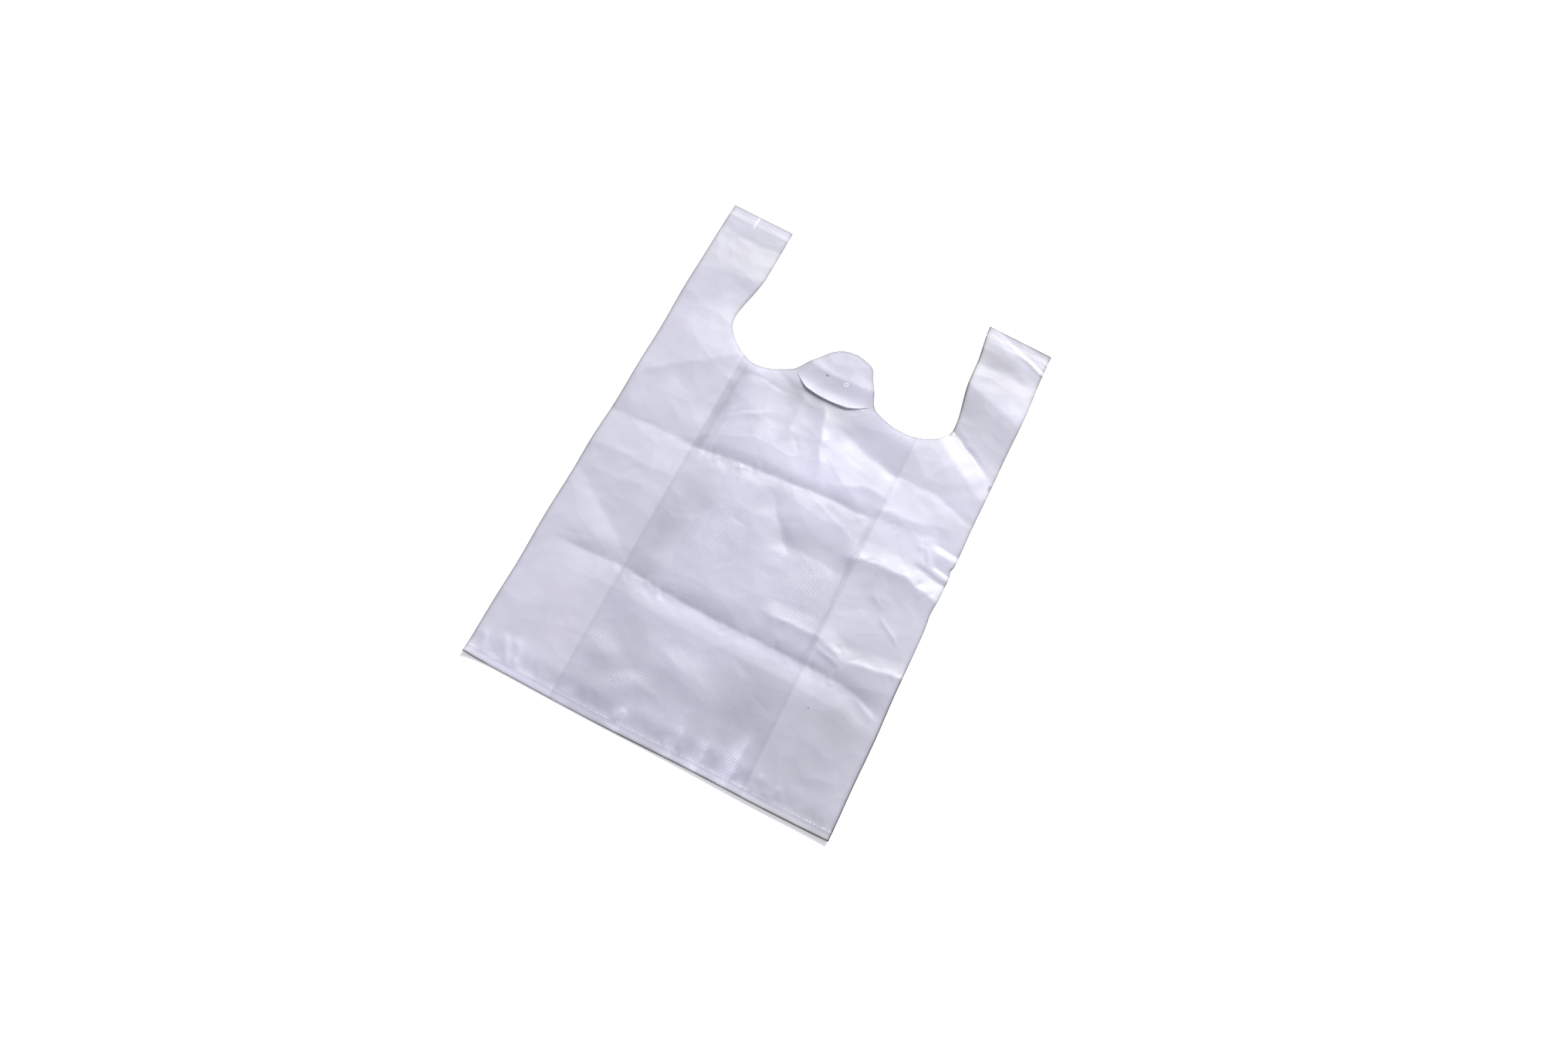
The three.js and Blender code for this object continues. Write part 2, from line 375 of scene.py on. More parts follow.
class Lie:
    """How the front panel lies at a set of points: its height, the light and shade painted on it there, and
    how far its embossed dots stand out, with their painted glint."""

    def __init__(self, x, up):
        self.x = x
        self.up = up
        self.height = np.zeros_like(x)
        # painted light and shade: lighter and darker patches and lines that stand in for how the light falls
        # on the film
        self.tone = np.zeros_like(x)
        self.emboss = np.zeros_like(x)
        long_wave = 0.7 * np.sin(x / 9 + up / 17)
        short_wave = 0.4 * np.sin(x / 3.7 - up / 5)
        ripple = 0.3 * np.sin(up / 2.9 + x / 7)
        self.wobble = long_wave + short_wave + ripple

    def line_distance(self, line):
        """Distance to a line of points, positive on its left, and the share of its length along it."""
        points = np.array(line, float)
        spans = np.linalg.norm(np.diff(points, axis=0), axis=1)
        run = np.concatenate([[0], np.cumsum(spans)]) / spans.sum()
        best = np.full_like(self.x, np.inf)
        side = np.ones_like(self.x)
        along = np.zeros_like(self.x)
        for number, span in enumerate(spans):
            start, end = points[number], points[number + 1]
            way = (end - start) / span
            dx, dy = self.x - start[0], self.up - start[1]
            share = np.clip((dx * way[0] + dy * way[1]) / span, 0, 1)
            off = np.hypot(dx - share * span * way[0], dy - share * span * way[1])
            nearer = off < best
            best = np.where(nearer, off, best)
            side = np.where(nearer, np.where(way[0] * dy - way[1] * dx < 0, -1, 1), side)
            along = np.where(nearer, run[number] + share * (run[number + 1] - run[number]), along)
        return best * side, along

    def beside(self, line, widths, ends, fades, soft, wander):
        """How near each point is to a line, 1 on it and falling away over these widths on its right and its
        left. A fade of 1 falls evenly over the width, and more eases out farther off. The line is rounded
        over the soft width, fades out over this share of its length at both ends, and wanders a little."""
        off, along = self.line_distance(line)
        off = off + wander * self.wobble
        width = np.where(off > 0, widths[1], widths[0])
        fade = np.where(off > 0, fades[1], fades[0])
        near = np.clip(1 - (np.hypot(off, soft) - soft) / (fade * width), 0, 1) ** fade
        return near * smooth_step(along, 0, ends) * (1 - smooth_step(along, 1 - ends, 1))

    def crease(self, line, height, right, left, ends=0.2, fades=(3, 3), soft=LINE_SOFT, wander=1):
        """A ridge, or with a negative height a valley, with flat facets beside it where the fade is 1."""
        self.height += height * self.beside(line, (right, left), ends, fades, soft, wander)

    def streak(self, line, tone, right, left, ends=0.2, wander=1):
        """A line of painted highlight, or with a negative amount a line of painted shade."""
        self.tone += tone * self.beside(line, (right, left), ends, STREAK_FADES, LINE_SOFT, wander)

    def patch(self, centre, radii, turn):
        """1 at the centre of a turned ellipse, falling away softly over its radii."""
        cos, sin = math.cos(math.radians(turn)), math.sin(math.radians(turn))
        dx, dy = self.x - centre[0], self.up - centre[1]
        return soft_spot(dx * cos + dy * sin, dy * cos - dx * sin, (0, 0), radii)

    def swell(self, centre, radii, height, turn):
        """A soft mound, or with a negative height a hollow."""
        self.height += height * self.patch(centre, radii, turn)

    def light_and_shade_patch(self, centre, radii, tone, turn):
        """A soft patch of painted light, or with a negative amount of painted shade."""
        self.tone += tone * self.patch(centre, radii, turn)

    def sparkle(self, centre, radii, amount, turn=0):
        """A soft patch where the embossed dots stand out more and are painted with a glint, a painted
        highlight.
        """
        self.emboss += amount * self.patch(centre, radii, turn)


def packing_creases(lie):
    """The folds straight across the bag from its packing."""
    lower = [
        (-135, 118), (-67, 121), (-45, 118.5), (-22, 116), (70, 116), (110, 114), (128, 108), (150, 100),
    ]
    lie.crease(lower, -1.9, 18, 10, ends=0.12, fades=(1.1, 2), soft=0.3, wander=0.4)
    lower_line = [(-70, 121.5), (-45, 119), (-22, 116.8), (72, 116.8)]
    # painted shade along the lower crease's line
    lie.streak(lower_line, -0.08, 1.2, 2.4, ends=0.1, wander=0.4)
    upper = [(-86, 240), (-52, 246), (-27, 249), (5, 252.5), (40, 256), (80, 256)]
    lie.crease(upper, -1.2, 11, 5.5, ends=0.16, fades=(2, 2), soft=0.3, wander=0.4)
    lie.crease([(62, 256), (90, 261), (134, 271)], -0.35, 12, 6, ends=0.25)
    lie.crease([(-160, 242), (-100, 243), (-66, 241)], -0.9, 12, 9)
    lie.crease([(-160, 207), (-66, 208)], 0.7, 10, 14)


def right_band_creases(lie):
    over_lower_fold = [(20, 138), (70, 140), (85, 135), (95, 129.5), (105, 134), (156, 144)]
    lie.crease(over_lower_fold, 1.6, 15, 10, ends=0.14, fades=(2, 1.4))
    lie.crease([(70, 133), (99, 124)], 0.5, 2, 2, ends=0.3)
    lie.crease([(58, 214), (80, 218), (110, 221), (160, 211)], 1.6, 11, 13, ends=0.12, fades=(2, 1.4))
    lie.crease([(108, 239), (122, 235), (160, 229)], -0.8, 6, 2)
    lie.crease([(122, 244), (160, 240)], -0.8, 2, 5)
    lie.crease([(60, 264), (100, 271), (130, 282)], 0.7, 6, 18, ends=0.22, fades=(2, 1.6))
    lie.crease([(116, 263), (160, 259)], -1.2, 3, 10)
    lie.crease([(60, 304), (105, 303), (160, 289)], -0.8, 12, 12)
    lie.crease([(104, 182), (130, 162)], 0.45, 1.2, 1.6, ends=0.3)
    lie.crease([(92, 196), (108, 186)], 0.25, 1.4, 1.8, ends=0.3)
    lie.crease([(110, 113), (136, 99)], 0.6, 3, 5, ends=0.3)


def left_band_creases(lie):
    lie.crease([(-160, 202), (-118, 167), (-90, 142), (-66, 121)], -1.1, 18, 22, ends=0.15)
    lie.crease([(-160, 263), (-110, 308), (-66, 349)], 0.9, 9, 26, ends=0.15, fades=(2, 2))
    lie.crease([(-128, 112), (-129, 72)], 0.4, 5, 5, ends=0.4)


def centre_creases(lie):
    lie.crease([(-8, 243), (11, 216), (31, 188)], -1.7, 16, 10, ends=0.3, fades=(2, 2))
    lie.crease([(4, 203), (40, 200), (80, 198)], -0.7, 14, 16, ends=0.3)
    lie.crease([(18, 251), (40, 241), (72, 228)], 0.22, 3, 3, ends=0.3)
    lie.crease([(-38, 214), (-45, 187), (-48, 165), (-45, 134)], -1.3, 14, 6, ends=0.3)
    lie.crease([(-63, 346), (-64, 290), (-63, 230)], -1.4, 7, 3.5, ends=0.25)
    lie.crease([(-1, 342), (8, 305), (21, 258)], 1.2, 9, 6, ends=0.3, fades=(2, 2))
    lie.crease([(-38, 340), (-41, 262)], 0.6, 5, 6, ends=0.4)
    lie.crease([(-18, 338), (-15, 272)], 0.7, 5, 6, ends=0.4)
    lie.crease([(26, 264), (52, 278), (80, 276)], 0.9, 9, 16, ends=0.25, fades=(2, 1.6))
    lie.crease([(14, 324), (45, 309), (82, 300)], -1.4, 10, 18, ends=0.25, fades=(1.6, 2), soft=3)
    lie.crease([(64, 0), (63.5, 52)], 0.9, 2, 8, ends=0.35)
    lie.swell((-57, 50), (14, 9), 0.9, -15)
    lie.swell((-34, 33), (19, 9), 0.9, 30)
    lie.swell((2, 62), (24, 13), 1.0, -12)


def tab_creases(lie):
    """The tab's lip stands up from the slit, with a painted highlight on it and a painted shadow in the dark
    gap under it, the panel sinks a little in front of it, and a crease crosses the tab."""
    slit = [(x, y + HALF_LENGTH) for x, y in slit_arc(SLIT_SAG - SLIT_OPEN / 2)]
    lie.crease(slit, 1.3, 0.01, 6, ends=0.3, fades=(2, 2), soft=0.1, wander=0)
    # painted highlight on the lip
    lie.streak(slit, 0.1, 0.01, 4, wander=0)
    # painted shadow along the slit under the lip
    lie.streak(slit, -0.5, 0.9, 0.9, wander=0)
    lie.crease([(-54, 348), (-25, 337), (5, 335), (36, 345)], -0.5, 18, 8, ends=0.3)
    lie.crease([(-48, 366.5), (0, 367), (48, 366.5)], 0.9, 8, 14, ends=0.15, fades=(2, 2))


def handle_creases(lie):
    lie.crease([(40, 407), (95, 370), (165, 323)], -2.8, 14, 48, ends=0.02, fades=(1.4, 1.4))
    lie.crease([(84, 378), (95, 370), (165, 323)], -0.9, 4, 2.5, ends=0.08, fades=(2, 2))
    across_right = [(30, 437), (141, 399), (180, 386)]
    lie.crease(across_right, 1.3, 34, 38, ends=0.02, fades=(1.2, 1.2), soft=0.3, wander=0.2)
    lie.crease([(30, 438), (180, 444)], -0.35, 18, 8, ends=0.02, fades=(1.6, 1.6), wander=0.2)
    lie.crease([(60, 494), (86, 482), (141, 455.5), (170, 441)], 0.9, 16, 9, ends=0.02, fades=(2, 2))
    for line, height, right, left, ends in [
        ([(86, 482), (141, 456), (170, 442)], 0.5, 1.2, 1.6, 0.04),
        ([(100, 478), (141, 460), (170, 447)], -0.5, 1.2, 1.6, 0.06),
        ([(112, 479), (141, 468), (170, 457)], 0.4, 1.5, 2, 0.06),
    ]:
        lie.crease(line, height, right, left, ends, fades=(2, 2), soft=0.2, wander=0.4)
    lie.crease([(-180, 393), (-90, 416), (-40, 428)], 0.9, 34, 46, ends=0.02, fades=(1.1, 1.1))
    lie.crease([(-180, 453), (-40, 453)], -0.45, 22, 7, ends=0.02, fades=(2, 2))


def weld_puckers(lie, rng):
    """Short ridges that run up from the bottom weld, the listed ones with a painted highlight along them."""
    for foot, tip in [
        ((77, 5), (82, 24)), ((91, 4), (96, 22)), ((-27, 5), (-23, 20)),
        ((-135, 26), (-129, 4)), ((-121, 32), (-108, 4)), ((-112, 33), (-100, 4)),
    ]:
        lie.crease([foot, tip], 0.7, 3.5, 3.5, ends=0.3)
        # painted highlight along each ridge
        lie.streak([foot, tip], 0.05, 3, 3, ends=0.3)
    for x in np.arange(-HALF_WIDTH + 6, HALF_WIDTH, 9):
        foot = x + rng.uniform(-4, 4)
        tip = (foot + rng.uniform(-4, 4), BOTTOM_WELD + rng.uniform(6, 18))
        lie.crease([(foot, 4), tip], rng.uniform(0.15, 0.5), 2.2, 2.2, ends=0.4)


def crumple(lie, rng):
    """Faint handling creases all over, each a short straight line."""
    for _ in range(HANDLING_CREASES):
        x, up = rng.uniform(-HALF_WIDTH, HALF_WIDTH), rng.uniform(0, HANDLING_TOP)
        turn, reach = rng.uniform(0, math.pi), rng.uniform(8, 30)
        dx, dy = reach * math.cos(turn), reach * math.sin(turn)
        height, width = rng.uniform(-0.25, 0.25), rng.uniform(2, 5)
        lie.crease([(x - dx, up - dy), (x + dx, up + dy)], height, width, width, ends=0.4)


def pinches(lie, rng):
    """Small wrinkles across the packing creases, where the film was pinched as it was folded."""
    for start, end, count in [
        ((-100, 120), (-20, 117), 12), ((-20, 116), (110, 112), 16), ((-60, 245), (70, 256), 16),
        ((72, 222), (138, 216), 8), ((75, 262), (138, 246), 10), ((30, 140), (138, 140), 10),
    ]:
        for share in rng.uniform(0, 1, count):
            x = start[0] + (end[0] - start[0]) * share
            up = start[1] + (end[1] - start[1]) * share + rng.uniform(-5, 5)
            turn, reach = rng.uniform(0.9, 2.2), rng.uniform(3, 9)
            dx, dy = reach * math.cos(turn), reach * math.sin(turn)
            width = rng.uniform(0.8, 1.8)
            height = rng.uniform(-0.35, 0.45)
            lie.crease([(x - dx, up - dy), (x + dx, up + dy)], height, width, width, ends=0.4)


def dotted_patches(lie):
    """Patches, and strips above the bottom weld, where the embossed dots stand out and are painted with
    glints, the strips with a painted highlight along them too.
    """
    for centre, radii, amount, turn in [
        ((-60, 64), (17, 10), 0.6, 25), ((-55, 56), (10, 5), 0.8, -15), ((-35, 38), (19, 7), 0.9, 32),
        ((0, 71), (24, 9), 0.8, -15), ((0, 30), (17, 9), 0.45, 35), ((45, 77), (10, 5), 0.4, -20),
        ((46, 147), (16, 9), 0.8, 10), ((52, 178), (24, 20), 0.6, 20), ((64, 236), (6, 12), 0.7, 0),
        ((-28, 185), (12, 22), 0.5, 0),
    ]:
        lie.sparkle(centre, radii, amount, turn)
    for x, top, amount in [(59.5, 46, 1.2), (37, 28, 1.0), (17, 30, 0.8), (-22, 20, 0.6), (-62, 16, 0.5)]:
        strip = [(x, -6), (x + 1, top)]
        lie.sparkle((x - 2.5, top / 2), (5, top / 1.8), amount)
        # painted highlight along each strip
        lie.streak(strip, 0.16 * amount, 1.5, 7, ends=0.25, wander=0.5)
        lie.crease(strip, 0.4 * amount, 2, 4, ends=0.3)


def cut_edges(lie):
    """Painted shade: the film is painted darker right at its edges, where it is seen on end, and more along
    the lifted ones.
    """
    rim, _ = lie.line_distance([(x, y + HALF_LENGTH) for x, y in mouth_outline()])
    inward = np.minimum(HALF_WIDTH - np.abs(lie.x), np.minimum(lie.up, LENGTH - lie.up))
    lie.tone += EDGE_SHADE * np.exp(-np.minimum(inward, np.abs(rim)) / EDGE_WIDTH)
    # painted shade along the lifted bottom edge, the lower right side and the right handle's inner edge
    for edge in (
        [(HALF_WIDTH, -20), (HALF_WIDTH, 170)], [(-50, 0), (170, 0)], [(-170, 0), (-118, 0)],
        [(88, 500), (88, 420), (94, 370), (94, 350)],
    ):
        lie.streak(edge, -0.35, 0.9, 0.9, ends=0.15, wander=0)


def painted_light_and_shade_patches(lie):
    """Painted light and shade: soft patches and lines where the film is painted lighter and darker for how
    the light falls.
    """
    # painted light and shade over the handles' facets
    in_handles = [
        ((-110, 434), (40, 30), -0.14, 0), ((-118, 384), (26, 20), -0.05, 0),
        ((98, 451), (26, 10), -0.29, -8), ((112, 429), (30, 9), -0.1, 0), ((130, 408), (12, 8), 0.08, 0),
        ((94, 398), (14, 20), -0.1, 0), ((115, 388), (28, 19), -0.11, -20),
    ]
    # painted shade round the tab, with the painted shadow under its lip at (-14, 334)
    at_tab = [
        ((0, 372), (32, 26), -0.07, 0), ((20, 370), (14, 12), 0.05, 0), ((-14, 334), (26, 10), -0.28, 0),
        ((18, 329), (22, 10), -0.1, 0),
    ]
    # painted light and shade over the right band, darker towards its bottom
    in_right_band = [
        ((126, 306), (16, 9), 0.07, 0), ((118, 302), (24, 12), 0.05, 0), ((108, 274), (38, 11), 0.07, 0),
        ((105, 248), (38, 13), 0.09, 0), ((108, 146), (36, 8), -0.06, 0), ((108, 82), (40, 12), -0.07, 0),
        ((108, 55), (38, 75), -0.1, 0), ((128, 5), (14, 10), -0.12, 0),
    ]
    in_left_band = [
        ((-88, 109), (26, 8), -0.08, 0), ((-110, 30), (40, 60), 0.05, 0), ((-110, 5), (44, 9), 0.1, 0),
    ]
    # painted light and shade over the middle
    in_centre = [
        ((34, 292), (26, 11), 0.07, 0), ((26, 269), (60, 12), 0.14, 0), ((52, 248), (14, 8), -0.08, 0),
        ((8, 230), (14, 8), 0.07, 0), ((26, 229), (30, 9), 0.08, 0), ((40, 212), (34, 12), -0.06, 0),
        ((-46, 204), (26, 9), -0.05, -25), ((55, 170), (16, 22), -0.09, 0), ((-62, 168), (14, 50), -0.15, 0),
        ((72, 127), (40, 8), 0.07, 0), ((16, 68), (18, 12), -0.05, 0), ((50, 62), (22, 36), -0.14, 0),
        ((-50, 48), (22, 34), -0.08, 0), ((-10, 45), (60, 30), -0.04, 0),
    ]
    for centre, radii, tone, turn in in_handles + at_tab + in_right_band + in_left_band + in_centre:
        lie.light_and_shade_patch(centre, radii, tone, turn)
    # painted shade under the right handle's top, a painted dark strip and light line by the left gusset, a
    # painted dark line at the right one, and painted highlights below the slit and either side of the lower
    # packing crease
    for line, tone, right, left, ends in [
        ([(90, 485), (118, 480), (160, 476)], -0.3, 3, 3, 0.1),
        ([(-68, 344), (-68, 232)], -0.2, 4, 4, 0.15),
        ([(-61, 344), (-60, 240)], 0.06, 2, 2, 0.15),
        ([(6, 326), (13, 300), (22, 268)], 0.06, 8, 8, 0.2),
        ([(70.5, 262), (70, 108)], -0.12, 1.5, 0.8, 0.1),
        ([(10, 127), (70, 127), (128, 121)], 0.07, 7, 7, 0.2),
        ([(-90, 111), (-20, 109), (70, 108), (128, 104)], 0.1, 6, 4, 0.25),
    ]:
        lie.streak(line, tone, right, left, ends)


def front_lie(x, up):
    rng = np.random.default_rng(SEED)
    lie = Lie(x, up)
    for shape in (
        packing_creases, right_band_creases, left_band_creases, centre_creases, tab_creases, handle_creases,
        painted_light_and_shade_patches, dotted_patches, cut_edges,
    ):
        shape(lie)
    for scatter in (weld_puckers, crumple, pinches):
        scatter(lie, rng)
    return lie


# Laying the film

def air_under(x, up):
    """How high the air in the bag holds the front panel, before any crease."""
    steep = smooth_step(up, RISE_START, STEEP_RISE_END)
    rise = STEEP_SHARE * steep + (1 - STEEP_SHARE) * smooth_step(up, RISE_START, RISE_END)
    closing = 1 - smooth_step(up, LENGTH - CLOSING_RUN, TOP_WELD_UP)
    handle = smooth_step(up, MOUTH_UP, MOUTH_UP + HANDLE_RUN)
    side = PANEL_SIDE + (HANDLE_SIDE - PANEL_SIDE) * handle
    across = side + (1 - side) * (1 - np.abs(x / HALF_WIDTH) ** SIDE_ROUNDING)
    beside_tab = smooth_step(np.abs(x), TAB_SINK_HALF, TAB_SINK_HALF + TAB_SINK_SOFT)
    tab = smooth_step(up, TAB_SINK_START, TAB_SINK_END) * (1 - beside_tab)
    crown = CROWN + (HANDLE_CROWN - CROWN) * np.maximum(handle, tab)
    return crown * across * rise * closing


def slack(up):
    """How freely the film can crease: hardly at all in the welds."""
    from_bottom = smooth_step(up, 1, BOTTOM_WELD + 3)
    to_top = smooth_step(up, TOP_WELD_UP - 8, TOP_WELD_UP + 1)
    return (BOTTOM_SLACK + (1 - BOTTOM_SLACK) * from_bottom) * (1 - (1 - TOP_SLACK) * to_top)


def weld_beads(up):
    """The raised bead along the inner side of each weld."""
    return BEAD_HEIGHT * (bell(up, BOTTOM_WELD - 0.5, BEAD_WIDTH) + bell(up, TOP_WELD_UP, BEAD_WIDTH))


def edge_curl(x, up):
    """How far the edges of the whole stack curl up from the floor."""
    bottom_edge = BOTTOM_CURL * smooth_step(x, -40, 90) * np.exp(-up / BOTTOM_CURL_REACH)
    right_edge = SIDE_CURL * np.exp((x - HALF_WIDTH) / SIDE_CURL_REACH) * (1 - smooth_step(up, 120, 170))
    left_corner = CORNER_CURL * np.exp(-np.hypot(x + HALF_WIDTH, up) / CORNER_CURL_REACH)
    return bottom_edge + right_edge + left_corner


def tab_corner(x, up):
    """How far the right end of the tab's round top is drawn out into a corner."""
    return TAB_CORNER_PULL * soft_spot(x, up, *TAB_CORNER_SPOT)


def pull_along(x, up):
    """How far the film is drawn along the bag: an uneven bottom edge, handles of uneven length, a lower left
    scoop, and a slit that lies flatter under a lip that hangs over it."""
    uneven = LEFT_BOTTOM_RISE * smooth_step(-x, 20, 140) - RIGHT_BOTTOM_DROP * smooth_step(x, 20, 100)
    bottom = (1 - smooth_step(up, 0, 60)) * uneven
    handles = smooth_step(up, 380, 480) * np.where(x < 0, -HANDLE_STAGGER, HANDLE_STAGGER)
    left_scoop = -LEFT_SCOOP_DROP * soft_spot(x, up, *LEFT_SCOOP_SPOT)
    slit_ends = -SLIT_ENDS_DROP * soft_spot(np.abs(x), up, *SLIT_END_SPOT)
    above_slit = up - LIP_LINE_UP - (x / LIP_BOW_HALF) ** 2 * LIP_BOW
    lip = np.where(above_slit > 0, -LIP_HANG * np.exp(-np.abs(above_slit) / LIP_REACH), 0)
    lip = lip * (1 - smooth_step(np.abs(x), *LIP_FADE))
    return bottom + handles + left_scoop + tab_corner(x, up) + lip + slit_ends


def pull_across(x, up):
    """How far it is drawn across: side folds that wander where creases take film up, a tab that leans to the
    right over a slit drawn to the left, and a right handle that is wider at its top."""
    edge = smooth_step(np.abs(x), 90, 140)
    notch = sum(depth * bell(up, place, width) for depth, place, width in SIDE_NOTCHES)
    sway = 0.7 * np.sin(up / 37) + 0.4 * np.sin(up / 13 + 1)
    side_folds = edge * np.where(x > 0, -notch + 0.5 * sway, 0.6 * sway)
    tab = TAB_LEAN * smooth_step(up, 350, 392) * (1 - smooth_step(np.abs(x), 35, 50))
    slit = (SLIT_STRETCH * x + SLIT_SHIFT) * soft_spot(x, up, *SLIT_SPOT)
    handle_top = HANDLE_TOP_PULL * smooth_step(up, 440, 480) * (1 - smooth_step(x, 90, 138))
    handle_root = HANDLE_ROOT_PULL * bell(up, 400, 60)
    right_handle = smooth_step(x, 70, 86) * (handle_top + handle_root)
    return tab + tab_corner(x, up) + slit + right_handle + side_folds


def lay_film(bm):
    """Lays the cut tube down: every layer keeps its share of the height between the back and the front.
    The back lies on the floor, but at the mouth and in the handles all the layers crease together."""
    points = np.array([vert.co for vert in bm.verts])
    x, up, level = points[:, 0], points[:, 1] + HALF_LENGTH, points[:, 2] / OPEN_FOLD
    from_middle = 2 * level - 1
    level = 0.5 + 0.5 * from_middle * np.abs(from_middle) ** PARTING
    lie = front_lie(x, up)
    lift = air_under(x, up) + lie.height * slack(up)
    clear = (lift + np.hypot(lift, EASE)) / 2
    together = TOGETHER_SHARE * smooth_step(up, MOUTH_UP - TOGETHER_RUN, MOUTH_UP + TOGETHER_RUN)
    ground = FLOOR_GAP + edge_curl(x, up)
    back = ground + together * clear
    front = ground + LAYERS + clear + weld_beads(up)
    height = back + level * (front - back)
    along = up - HALF_LENGTH + pull_along(x, up)
    across = x + pull_across(x, up)
    film_place = bm.verts.layers.float_vector.new("film_place")
    film_painted_light_and_shade = bm.verts.layers.float.new("film_painted_light_and_shade")
    film_emboss_and_glint = bm.verts.layers.float.new("film_emboss_and_glint")
    for number, vert in enumerate(bm.verts):
        vert.co = (across[number], along[number], height[number])
        vert[film_place] = (x[number] * MM, up[number] * MM, 0)
        vert[film_painted_light_and_shade] = lie.tone[number]
        vert[film_emboss_and_glint] = lie.emboss[number]


# Nodes

def feed(tree, socket, value):
    """Links an input to another node's output, or sets it to a plain value."""
    if isinstance(value, bpy.types.NodeSocket):
        tree.links.new(value, socket)
    else:
        socket.default_value = value


def node(tree, kind, **inputs):
    """A node with these inputs, set down in rows so that none hides another."""
    row, column = divmod(len(tree.nodes), NODES_A_ROW)
    made = tree.nodes.new(kind)
    made.location = (column * NODE_PITCH[0], -row * NODE_PITCH[1])
    for name, value in inputs.items():
        feed(tree, made.inputs[name.replace("_", " ")], value)
    return made


def maths(tree, operation, *values):
    made = node(tree, "ShaderNodeMath")
    made.operation = operation
    for socket, value in zip(made.inputs, values):
        feed(tree, socket, value)
    return made.outputs[0]


def attribute(tree, name, output):
    made = node(tree, "ShaderNodeAttribute")
    made.attribute_name = name
    return made.outputs[output]


def mix_colours(tree, share, first, second):
    made = node(tree, "ShaderNodeMix")
    made.data_type = "RGBA"
    for name, value in {"Factor": share, "A": first, "B": second}.items():
        feed(tree, made.inputs[name], value)
    return made.outputs["Result"]


def mix_shaders(tree, share, first, second):
    made = node(tree, "ShaderNodeMixShader", Fac=share)
    tree.links.new(first, made.inputs[1])
    tree.links.new(second, made.inputs[2])
    return made.outputs[0]


def band(tree, value, centre, half, soft):
    """A mask that is 1 within half a width of the centre and fades out over the soft width."""
    off = maths(tree, "ABSOLUTE", maths(tree, "SUBTRACT", value, centre))
    mask = node(
        tree, "ShaderNodeMapRange", Value=off, From_Min=half, From_Max=half + soft, To_Min=1, To_Max=0,
    )
    mask.interpolation_type = "SMOOTHSTEP"
    return mask.outputs[0]


def noise(tree, vector, stretch, detail):
    """Noise of so many cells a metre along each axis."""
    scaled = node(tree, "ShaderNodeMapping", Vector=vector, Scale=stretch)
    made = node(
        tree, "ShaderNodeTexNoise",
        Vector=scaled.outputs[0], Scale=1, Detail=detail, Roughness=NOISE_ROUGHNESS,
    )
    return made.outputs["Fac"]


def facets(tree, vector, scale):
    """Flat facets with creased borders, so many of them a metre, as in film that has been crumpled."""
    bend = node(tree, "ShaderNodeTexNoise", Vector=vector, Scale=scale / 2, Detail=1)
    bent = node(tree, "ShaderNodeVectorMath")
    bent.operation = "MULTIPLY_ADD"
    for socket, value in zip(bent.inputs, (bend.outputs["Color"], (1 / scale, 1 / scale, 0), vector)):
        feed(tree, socket, value)
    flat = node(tree, "ShaderNodeMapping", Vector=bent.outputs[0], Scale=(scale, scale, 0))
    cells = node(tree, "ShaderNodeTexVoronoi")
    cells.voronoi_dimensions = "2D"
    for name, value in {"Vector": flat.outputs[0], "Scale": 1, "Randomness": 1}.items():
        feed(tree, cells.inputs[name], value)
    return cells.outputs["Distance"]


def bump(tree, height, distance, under=None):
    made = node(tree, "ShaderNodeBump", Height=height, Strength=1, Distance=distance)
    if under is not None:
        tree.links.new(under, made.inputs["Normal"])
    return made.outputs[0]


def empty_material(name):
    material = bpy.data.materials.new(name)
    material.use_nodes = True
    material.node_tree.nodes.clear()
    return material


# The film's finish

def embossed_dots(tree, spot):
    """A slanted grid of round dots, 1 in the middle of each."""
    turned = node(tree, "ShaderNodeMapping", Vector=spot, Rotation=(0, 0, DOT_SLANT))
    cells = node(tree, "ShaderNodeTexVoronoi", Vector=turned.outputs[0], Scale=DOTS_A_METRE, Randomness=0)
    dots = maths(tree, "MULTIPLY_ADD", cells.outputs["Distance"], -2, 1)
    dots.node.use_clamp = True
    return dots


def from_spot(tree, across, up, centre):
    """Distance from a spot on the film."""
    dx = maths(tree, "SUBTRACT", across, centre[0] * MM)
    dy = maths(tree, "SUBTRACT", up, centre[1] * MM)
    square = maths(tree, "MULTIPLY_ADD", dx, dx, maths(tree, "MULTIPLY", dy, dy))
    return maths(tree, "SQRT", square)


def heat_spot(tree, across, up, side):
    centre = (side * PIN_SPACING / 2 + PIN_SHIFT, MOUTH_UP + PIN_ABOVE_MOUTH)
    return from_spot(tree, across, up, centre)


